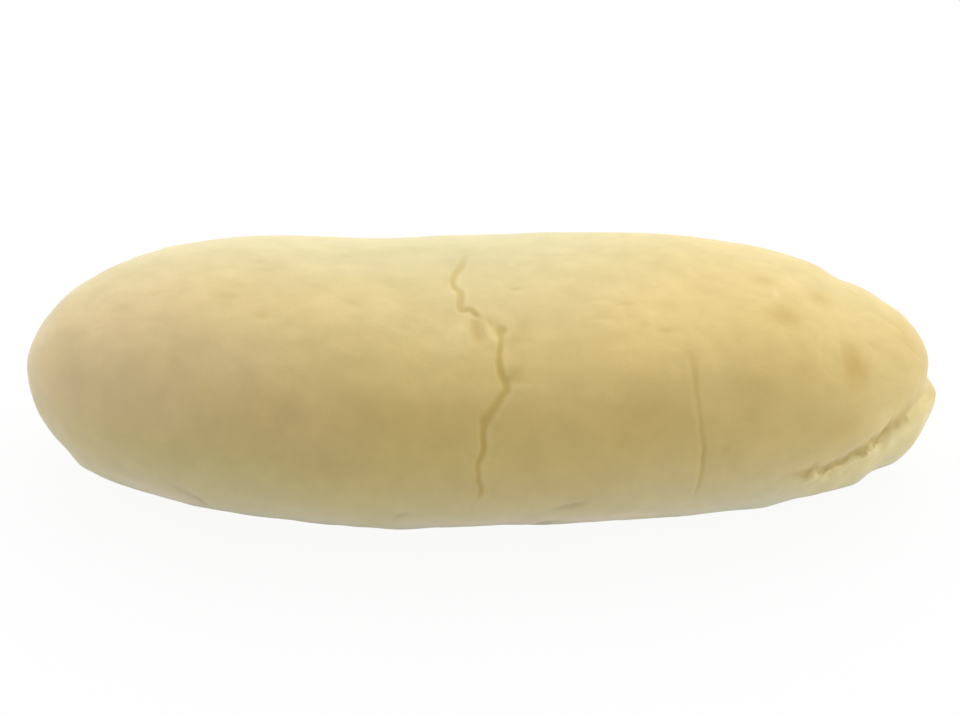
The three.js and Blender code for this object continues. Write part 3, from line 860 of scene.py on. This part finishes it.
    def finish(self):
        """Applies the relief, flattens the base with a soft edge and pits, and fits the box to the sizes.

        The soft edge is a parabola over heights within FOOT_SOFTNESS of the floor.
        """
        self.lift += bells(self.x, FOOT_BUMPS) * bell(self.line - FOOT_BUMP_LINE, FOOT_BUMP_REACH)
        self.points = self.points + self.normals * self.lift[..., None]
        height = self.points[..., 2]
        soften = np.maximum(FOOT_SOFTNESS - np.abs(height), 0) ** 2 / (4 * FOOT_SOFTNESS)
        pits = smooth(lattice_noise(self.points, PIT_CELL, SEEDS["pits"]), *PIT_NOISE)
        pits *= smooth(-height, *PIT_PLACE)
        self.points[..., 2] = np.maximum(height, 0) + soften + PIT_DEPTH * pits
        low = self.points.min(axis=(0, 1))
        high = self.points.max(axis=(0, 1))
        self.centre = (low + high) / 2 * (1, 1, 0)
        stretch = np.array(self.sizes[:3]) * MM / ROLL_SIZE
        self.points = (self.points - self.centre) * stretch
        strayed = np.abs((high - low) * stretch - self.sizes[:3])
        if strayed.max() > BOX_TOLERANCE:
            raise RuntimeError(f"the crust's box strays {strayed} mm from the sizes asked for")


@functools.lru_cache(maxsize=1)
def crust_shape(sizes):
    """The crust for a set of sizes, worked out once."""
    return CrustShape(sizes)


def mesh_object(name, points, faces):
    """Object at the origin whose mesh has these points, in metres, and faces; every face is shaded smooth."""
    mesh = bpy.data.meshes.new(name)
    mesh.from_pydata(points, [], faces)
    mesh.polygons.foreach_set("use_smooth", np.ones(len(mesh.polygons), bool))
    if mesh.validate():
        raise RuntimeError(f"{name} has faces that Blender had to mend")
    mesh.update()
    piece = bpy.data.objects.new(name, mesh)
    bpy.context.scene.collection.objects.link(piece)
    return piece


def ring_faces(rings, sides, first):
    """Quads between rings of points, and fans from a point before the first ring and one after the last."""
    ring, side = np.meshgrid(np.arange(rings - 1), np.arange(sides), indexing="ij")
    following = (side + 1) % sides
    near, far = first + 1 + ring * sides, first + 1 + (ring + 1) * sides
    quads = np.stack([near + side, far + side, far + following, near + following], axis=-1)
    turn = np.arange(sides)
    onward = (turn + 1) % sides
    last = first + 1 + rings * sides
    start = np.stack([np.full(sides, first), first + 1 + turn, first + 1 + onward], axis=-1)
    end = np.stack([last - sides + turn, np.full(sides, last), last - sides + onward], axis=-1)
    return quads.reshape(-1, 4).tolist() + start.tolist() + end.tolist()


def closed_points(grid):
    """Points of a grid of rings, with the mean of the first ring before them and of the last ring after."""
    tips = grid[[0, -1]].mean(axis=1)
    return np.concatenate([tips[:1], grid.reshape(-1, grid.shape[-1]), tips[1:]])


def feed(tree, socket, source):
    """Links a socket to another node's output, or sets it to a plain value."""
    if isinstance(source, bpy.types.NodeSocket):
        tree.links.new(source, socket)
    else:
        socket.default_value = source


def add_node(tree, kind, sources=None, **values):
    """Node of a kind; values set its own properties, and sources feed its inputs by name or number."""
    made = tree.nodes.new(kind)
    for name, value in values.items():
        setattr(made, name, value)
    for name, source in (sources or {}).items():
        feed(tree, made.inputs[name], source)
    return made


def maths(tree, operation, *sources):
    """Output of a Math node fed by sockets or plain numbers."""
    return add_node(tree, "ShaderNodeMath", dict(enumerate(sources)), operation=operation).outputs[0]


def mix_colours(tree, share, first, second):
    """Output of a Mix node from the first colour to the second."""
    made = add_node(tree, "ShaderNodeMix", data_type="RGBA")
    for name, source in (("Factor_Float", share), ("A_Color", first), ("B_Color", second)):
        socket = next(s for s in made.inputs if s.identifier == name)
        feed(tree, socket, source)
    return next(s for s in made.outputs if s.identifier == "Result_Color")


def opaque(colour):
    """A property's colour with full alpha."""
    return (*colour, 1.0)


def noise(tree, place, size, detail):
    """Noise node, with values from 0 to 1, whose patches are about a size in metres wide."""
    return add_node(tree, "ShaderNodeTexNoise", {"Vector": place, "Scale": 1 / size, "Detail": detail})


def bread_grain():
    """Node group of bread's grain, which mottles a colour and gives a height.

    The mottling is the sum of fine and broad noise and of puffs, swirled cells lighter in the middle, less
    specks, the very middles of some puffs. The height is the finest noise less the specks.
    """
    name = "bread grain"
    if name in bpy.data.node_groups:
        return bpy.data.node_groups[name]
    tree = bpy.data.node_groups.new(name, "ShaderNodeTree")
    tree.interface.new_socket("Colour", in_out="INPUT", socket_type="NodeSocketColor")
    tree.interface.new_socket("Mottling", in_out="INPUT", socket_type="NodeSocketFloat")
    tree.interface.new_socket("Colour", in_out="OUTPUT", socket_type="NodeSocketColor")
    tree.interface.new_socket("Height", in_out="OUTPUT", socket_type="NodeSocketFloat")
    source = add_node(tree, "NodeGroupInput")
    result = add_node(tree, "NodeGroupOutput")
    place = add_node(tree, "ShaderNodeTexCoord").outputs["Object"]
    fine = noise(tree, place, *FINE_GRAIN).outputs["Fac"]
    broad = noise(tree, place, *BROAD_GRAIN).outputs["Fac"]
    surface = noise(tree, place, *SURFACE_GRAIN).outputs["Fac"]
    swirl = noise(tree, place, *SWIRL_GRAIN).outputs["Color"]
    sources = {0: swirl, 1: (SWIRL_REACH,) * 3, 2: place}
    swirled = add_node(tree, "ShaderNodeVectorMath", sources, operation="MULTIPLY_ADD").outputs[0]
    puffs = add_node(tree, "ShaderNodeTexVoronoi", {"Vector": swirled, "Scale": 1 / PUFF_SIZE})
    distance = puffs.outputs["Distance"]
    chance = add_node(tree, "ShaderNodeSeparateColor", {0: puffs.outputs["Color"]})
    chosen = maths(tree, "GREATER_THAN", chance.outputs[0], SPECK_RARITY)
    speck = maths(tree, "MULTIPLY", maths(tree, "LESS_THAN", distance, SPECK_SIZE), chosen)
    change = maths(tree, "MULTIPLY", speck, -SPECK_CHANGE)
    for value, share in ((fine, FINE_CHANGE), (broad, BROAD_CHANGE), (distance, -PUFF_CHANGE)):
        change = maths(tree, "MULTIPLY_ADD", maths(tree, "SUBTRACT", value, GRAIN_MIDDLE), share, change)
    factor = maths(tree, "MULTIPLY_ADD", change, source.outputs["Mottling"], 1.0)
    sources = {0: source.outputs["Colour"], "Scale": factor}
    scaled = add_node(tree, "ShaderNodeVectorMath", sources, operation="SCALE")
    feed(tree, result.inputs["Colour"], scaled.outputs[0])
    feed(tree, result.inputs["Height"], maths(tree, "SUBTRACT", surface, speck))
    return tree


def bread_material(name, mottling, bump, make_colour):
    """Matte bread: a colour made in the material's own tree, mottled and bumped by the shared grain."""
    material = bpy.data.materials.new(name)
    material.use_nodes = True
    tree = material.node_tree
    sources = {"Colour": make_colour(tree), "Mottling": mottling}
    grain = add_node(tree, "ShaderNodeGroup", sources, node_tree=bread_grain())
    height = grain.outputs["Height"]
    relief = add_node(tree, "ShaderNodeBump", {"Strength": bump, "Distance": BUMP_DEPTH, "Height": height})
    finish = {
        "Base Color": grain.outputs["Colour"],
        "Normal": relief.outputs["Normal"],
        "Roughness": maths(tree, "MULTIPLY_ADD", height, ROUGHNESS_CHANGE, ROUGHNESS),
        **BREAD_FINISH,
    }
    for socket, source in finish.items():
        feed(tree, tree.nodes["Principled BSDF"].inputs[socket], source)
    return material


def crust_colour(tree, colours):
    """Crust's colour: the plain crust, blended by each mask in turn with that mask's colour."""
    colour = opaque(colours.crust)
    for mask, name in LAYERS:
        share = add_node(tree, "ShaderNodeAttribute", attribute_name=mask).outputs["Fac"]
        colour = mix_colours(tree, share, colour, opaque(getattr(colours, name)))
    return colour


def plain_colour(tree, colour):
    """One colour all over."""
    made = add_node(tree, "ShaderNodeRGB")
    made.outputs[0].default_value = opaque(colour)
    return made.outputs[0]


def crumb_lumps(shape, sizes):
    """Torn crumbs: stretched balls, lumpy by noise and partly sunk at random places of the torn edge."""
    draw = np.random.default_rng(CRUMB_SEED)
    rows, columns = np.nonzero(shape.crumb_bed)
    along = np.argsort(shape.x[rows, columns])
    share = (np.arange(CRUMB_COUNT) + draw.uniform(0, 1, CRUMB_COUNT)) / CRUMB_COUNT
    picks = along[(share * len(along)).astype(int)]
    radius = sizes.crumb_size / 2 * draw.uniform(*CRUMB_SIZES, CRUMB_COUNT)
    stretch = draw.uniform(*CRUMB_STRETCH, (CRUMB_COUNT, 3))
    places = rows[picks], columns[picks]
    centre = shape.points[places] - shape.normals[places] * (CRUMB_SINK * radius)[:, None]
    height = np.linspace(0, math.pi, CRUMB_RINGS + 2)[1:-1, None]
    turn = np.linspace(0, 2 * math.pi, CRUMB_SIDES, endpoint=False)[None, :]
    ball = np.stack(np.broadcast_arrays(
        np.sin(height) * np.cos(turn), np.sin(height) * np.sin(turn), -np.cos(height)), axis=-1)
    points, faces = [], []
    for middle, size, pull in zip(centre, radius, stretch):
        lump = middle + ball * pull * size
        swelling = CRUMB_LUMP * size * lattice_noise(lump, CRUMB_CELL * size, CRUMB_SEED)
        faces += ring_faces(CRUMB_RINGS, CRUMB_SIDES, len(points) * (CRUMB_RINGS * CRUMB_SIDES + 2))
        points.append(closed_points(lump + ball * swelling[..., None]))
    return np.concatenate(points), faces


class ROLL_OT_crust(bpy.types.Operator):
    """Makes the roll's crust with its relief and colour masks."""

    bl_idname = "roll.crust"
    bl_label = "Make the crust"

    def execute(self, context):
        shape = crust_shape(in_millimetres(context.scene.roll_sizes))
        rings, sides = shape.girth.shape
        piece = mesh_object("crust", closed_points(shape.points) * MM, ring_faces(rings, sides, 0))
        for name, mask in shape.masks.items():
            values = closed_points(np.clip(mask, 0, 1)[..., None])
            attribute = piece.data.attributes.new(name, "FLOAT", "POINT")
            attribute.data.foreach_set("value", values.ravel().astype(np.float32))
        colours = context.scene.roll_colours
        piece.data.materials.append(bread_material(
            "soft crust", mottling=0.085, bump=0.13, make_colour=lambda tree: crust_colour(tree, colours)))
        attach(piece, "root")
        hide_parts("roll")
        return {"FINISHED"}


class ROLL_OT_crumbs(bpy.types.Operator):
    """Makes the torn crumbs along the crevice."""

    bl_idname = "roll.crumbs"
    bl_label = "Make the crumbs"

    def execute(self, context):
        sizes = in_millimetres(context.scene.roll_sizes)
        points, faces = crumb_lumps(crust_shape(sizes), sizes)
        piece = mesh_object("torn_crumbs", points * MM, faces)
        colour = context.scene.roll_colours.crumb
        piece.data.materials.append(bread_material(
            "torn crumb", mottling=0.12, bump=0.2, make_colour=lambda tree: plain_colour(tree, colour)))
        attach(piece, "root")
        return {"FINISHED"}


class ROLL_OT_stage(bpy.types.Operator):
    """Makes the camera, the plain floor and the soft surroundings that light the roll."""

    bl_idname = "roll.stage"
    bl_label = "Make the stage"

    def execute(self, context):
        stage = context.scene.roll_stage
        context.scene.view_settings.view_transform = "Standard"
        self.add_camera(context, stage)
        self.add_floor(stage)
        self.light_world(context, stage)
        return {"FINISHED"}

    def add_camera(self, context, stage):
        """Camera at the photo's angle, moved aside so that the aim appears at its pixel."""
        centre = crust_shape(in_millimetres(context.scene.roll_sizes)).centre
        tilt = stage.elevation
        back = Vector((0, -math.cos(tilt), math.sin(tilt)))
        upward = Vector((0, math.sin(tilt), math.cos(tilt)))
        aside = (FRAME_WIDTH / 2 - AIM_PIXEL[0]) / PIXELS_PER_MM
        raised = (AIM_PIXEL[1] - FRAME_HEIGHT / 2) / PIXELS_PER_MM
        aim = Vector((aside, 0, AIM_HEIGHT)) + upward * raised - Vector(centre)
        data = bpy.data.cameras.new("camera")
        data.sensor_width = SENSOR_WIDTH
        data.lens = PIXELS_PER_MM * stage.distance / MM * SENSOR_WIDTH / FRAME_WIDTH
        camera = bpy.data.objects.new("camera", data)
        camera.location = aim * MM + back * stage.distance
        camera.rotation_euler = (math.pi / 2 - tilt, 0, 0)
        context.scene.collection.objects.link(camera)
        context.scene.camera = camera

    def add_floor(self, stage):
        """Plain floor; the camera sees most of it unshaded, so that the roll's shadow stays faint."""
        half = FLOOR_SIDE / 2
        corners = np.array([(-half, -half), (half, -half), (half, half), (-half, half)])
        points = np.column_stack([corners, np.full(4, -FLOOR_DROP)])
        floor = mesh_object("floor", points, [(0, 1, 2, 3)])
        material = bpy.data.materials.new("pale floor")
        material.use_nodes = True
        tree = material.node_tree
        tree.nodes.remove(tree.nodes["Principled BSDF"])
        diffuse = add_node(tree, "ShaderNodeBsdfDiffuse", {"Color": opaque(stage.floor)})
        glow = add_node(tree, "ShaderNodeEmission")
        seen = add_node(tree, "ShaderNodeLightPath").outputs["Is Camera Ray"]
        gain = stage.floor_glow - stage.floor_bounce
        share = maths(tree, "MULTIPLY_ADD", seen, gain, stage.floor_bounce)
        mix = add_node(tree, "ShaderNodeMixShader", {0: share, 1: diffuse.outputs[0], 2: glow.outputs[0]})
        feed(tree, tree.nodes["Material Output"].inputs["Surface"], mix.outputs[0])
        floor.data.materials.append(material)

    def light_world(self, context, stage):
        """Surroundings that light the roll: soft sources, each a power of a direction's closeness."""
        world = bpy.data.worlds.new("soft surroundings")
        world.use_nodes = True
        tree = world.node_tree
        direction = add_node(tree, "ShaderNodeTexCoord").outputs["Generated"]
        total = 0.0
        for name, axis in SOURCES.items():
            sources = {0: direction, 1: Vector(axis).normalized()}
            dot = add_node(tree, "ShaderNodeVectorMath", sources, operation="DOT_PRODUCT").outputs["Value"]
            close = maths(tree, "POWER", maths(tree, "MAXIMUM", dot, 0.0), SOURCE_POWER)
            total = maths(tree, "MULTIPLY_ADD", close, getattr(stage, name), total)
        light = tree.nodes["Background"]
        light.inputs["Color"].default_value = opaque(SOURCE_COLOUR)
        feed(tree, light.inputs["Strength"], total)
        shown = add_node(tree, "ShaderNodeBackground", {"Color": opaque(stage.backdrop)})
        seen = add_node(tree, "ShaderNodeLightPath").outputs["Is Camera Ray"]
        mix = add_node(tree, "ShaderNodeMixShader", {0: seen, 1: light.outputs[0], 2: shown.outputs[0]})
        feed(tree, tree.nodes["World Output"].inputs["Surface"], mix.outputs[0])
        context.scene.world = world


class ROLL_PT_panel(bpy.types.Panel):
    """Sizes, colours and operators of the roll."""

    bl_label = "Bread roll"
    bl_idname = "ROLL_PT_panel"
    bl_space_type = "VIEW_3D"
    bl_region_type = "UI"
    bl_category = "Bread roll"

    def draw(self, context):
        scene = context.scene
        for group in (scene.roll_sizes, scene.roll_colours, scene.roll_stage):
            box = self.layout.box()
            for name in group.__annotations__:
                box.prop(group, name)
        for operator in (ROLL_OT_crust, ROLL_OT_crumbs, ROLL_OT_stage):
            self.layout.operator(operator.bl_idname)


CLASSES = (RollSizes, RollColours, RollStage, ROLL_OT_crust, ROLL_OT_crumbs, ROLL_OT_stage, ROLL_PT_panel)


def register():
    """Registers the classes and hangs the property groups on the scene."""
    for item in CLASSES:
        bpy.utils.register_class(item)
    bpy.types.Scene.roll_sizes = bpy.props.PointerProperty(type=RollSizes)
    bpy.types.Scene.roll_colours = bpy.props.PointerProperty(type=RollColours)
    bpy.types.Scene.roll_stage = bpy.props.PointerProperty(type=RollStage)


def unregister():
    """Takes the property groups off the scene and unregisters the classes."""
    del bpy.types.Scene.roll_stage
    del bpy.types.Scene.roll_colours
    del bpy.types.Scene.roll_sizes
    for item in reversed(CLASSES):
        bpy.utils.unregister_class(item)


def main():
    """Makes the roll and its stage."""
    register()
    bpy.ops.roll.crust()
    bpy.ops.roll.crumbs()
    bpy.ops.roll.stage()


if __name__ == "__main__":
    main()
